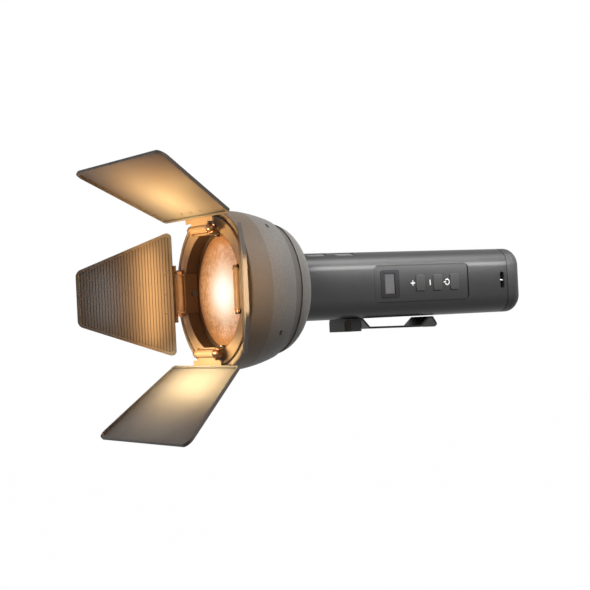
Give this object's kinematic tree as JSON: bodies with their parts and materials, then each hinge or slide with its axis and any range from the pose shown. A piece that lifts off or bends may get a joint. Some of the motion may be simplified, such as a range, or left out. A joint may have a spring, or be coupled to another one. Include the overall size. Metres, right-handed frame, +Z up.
{
  "type": "led video light",
  "caption": "Hand-held LED video light: square tube handle with keys, display and belt clip, bell head with lens, and a turning ring of barn doors.",
  "frame": {"origin": "centre of the tripod socket's mouth, in the foot block's underside", "axes": "+X along the tube towards its tail, so the beam leaves along -X; -Y is the side with the control panel; +Z up, away from the foot block"},
  "size_m": [0.3474, 0.2237, 0.2053],
  "materials": {
    "tube_shell": "fine sand-blasted black anodised aluminium, satin",
    "end_cap": "matt black moulded plastic",
    "panel": "matt black moulded plastic with printed signs",
    "window": "smoked clear plastic",
    "display": "dark liquid-crystal display",
    "button": "matt black plastic key",
    "circuit_board": "green solder-masked laminate",
    "electronics": "black moulded components",
    "switch": "small steel-topped tact switch",
    "cell": "blue sleeved can, of about aluminium's density as a whole",
    "cradle": "black moulded plastic",
    "foot": "black anodised aluminium",
    "dark_screw": "black oxidised steel",
    "steel": "plain steel",
    "clip_steel": "black coated spring steel",
    "bell": "fine matt warm grey coat on moulded aluminium",
    "reflector": "vacuum-metallised bright surface",
    "sink": "plain extruded aluminium",
    "led_board": "white-masked aluminium board",
    "phosphor": "yellow phosphor layer, lit warm white",
    "holder": "white heat-resistant plastic",
    "lens_glass": "clear pressed glass with a pebbled back",
    "lens_ring": "black anodised ring",
    "fan": "black moulded plastic",
    "ring": "black textured coat on aluminium",
    "hinge": "black coated pressed steel",
    "pin": "black nickel plated steel",
    "door": "black coated ribbed aluminium sheet",
    "strap_bar": "bright steel pin",
    "vent_mesh": "light grey woven steel mesh",
    "port": "plated steel shell"
  },
  "bodies": {
    "lamp": {"tube_body": "tube_shell", "vent_mesh": "vent_mesh", "strap_bar": "strap_bar", "end_cap": "end_cap", "end_cap_screws": "dark_screw", "charge_port": "port", "charge_board": "circuit_board", "battery_cells": "cell", "battery_cradle": "cradle", "control_panel": "panel", "display_window": "window", "display_module": "display", "control_board": "circuit_board", "tact_switches": "switch", "mount_block": "foot", "block_screws": "dark_screw", "nut_plate": "steel", "belt_clip": "clip_steel", "bell_rear": "bell", "bell_front": "bell", "bell_screws": "dark_screw", "neck_screws": "dark_screw", "lens": "lens_glass", "lens_ring": "lens_ring", "reflector": "reflector", "led_board": "led_board", "led_cob": "phosphor", "led_holder": "holder", "holder_screws": "steel", "heat_sink": "sink", "fan_frame": "fan", "fan_screws": "steel", "driver_board": "circuit_board", "driver_parts": "electronics"},
    "ring": {"door_ring": "ring", "ring_clip": "steel", "hinge_brackets": "hinge", "bracket_screws": "dark_screw", "hinge_pins": "pin", "hinge_nuts": "pin"},
    "top_leaf": {"top_door": "door", "top_door_hinge": "hinge", "top_door_rivets": "dark_screw"},
    "left_leaf": {"left_door": "door", "left_door_hinge": "hinge", "left_door_rivets": "dark_screw"},
    "bottom_leaf": {"bottom_door": "door", "bottom_door_hinge": "hinge", "bottom_door_rivets": "dark_screw"},
    "right_leaf": {"right_door": "door", "right_door_hinge": "hinge", "right_door_rivets": "dark_screw"},
    "fan": {"fan_rotor": "fan"},
    "plus_key": {"plus_button": "button"},
    "minus_key": {"minus_button": "button"},
    "power_key": {"power_button": "button"}
  },
  "joints": [
    {"name": "ring_turn", "type": "hinge", "parent": "lamp", "child": "ring", "pos_m": [-0.11, 0, 0.0356], "axis": [1, 0, 0], "continuous": true},
    {"name": "top_door_hinge", "type": "hinge", "parent": "ring", "child": "top_leaf", "pos_m": [-0.1224, 0, 0.082], "axis": [0, 1, 0], "range_deg": [-55.8, 46.2]},
    {"name": "left_door_hinge", "type": "hinge", "parent": "ring", "child": "left_leaf", "pos_m": [-0.1186, -0.0464, 0.0356], "axis": [0, 0, 1], "range_deg": [-96.8, 9.2]},
    {"name": "bottom_door_hinge", "type": "hinge", "parent": "ring", "child": "bottom_leaf", "pos_m": [-0.1224, 0, -0.0108], "axis": [0, -1, 0], "range_deg": [-66.4, 35.6]},
    {"name": "right_door_hinge", "type": "hinge", "parent": "ring", "child": "right_leaf", "pos_m": [-0.1186, 0.0464, 0.0356], "axis": [0, 0, -1], "range_deg": [-71, 35]},
    {"name": "plus_press", "type": "slide", "parent": "lamp", "child": "plus_key", "axis": [0, 1, 0], "range_m": [0, 0.0006], "stiffness_N_per_m": 400, "springref_m": -0.0005},
    {"name": "minus_press", "type": "slide", "parent": "lamp", "child": "minus_key", "axis": [0, 1, 0], "range_m": [0, 0.0006], "stiffness_N_per_m": 400, "springref_m": -0.0005},
    {"name": "power_press", "type": "slide", "parent": "lamp", "child": "power_key", "axis": [0, 1, 0], "range_m": [0, 0.0006], "stiffness_N_per_m": 400, "springref_m": -0.0005},
    {"name": "fan_spin", "type": "hinge", "parent": "lamp", "child": "fan", "pos_m": [-0.033, 0, 0.0356], "axis": [1, 0, 0], "continuous": true}
  ]
}
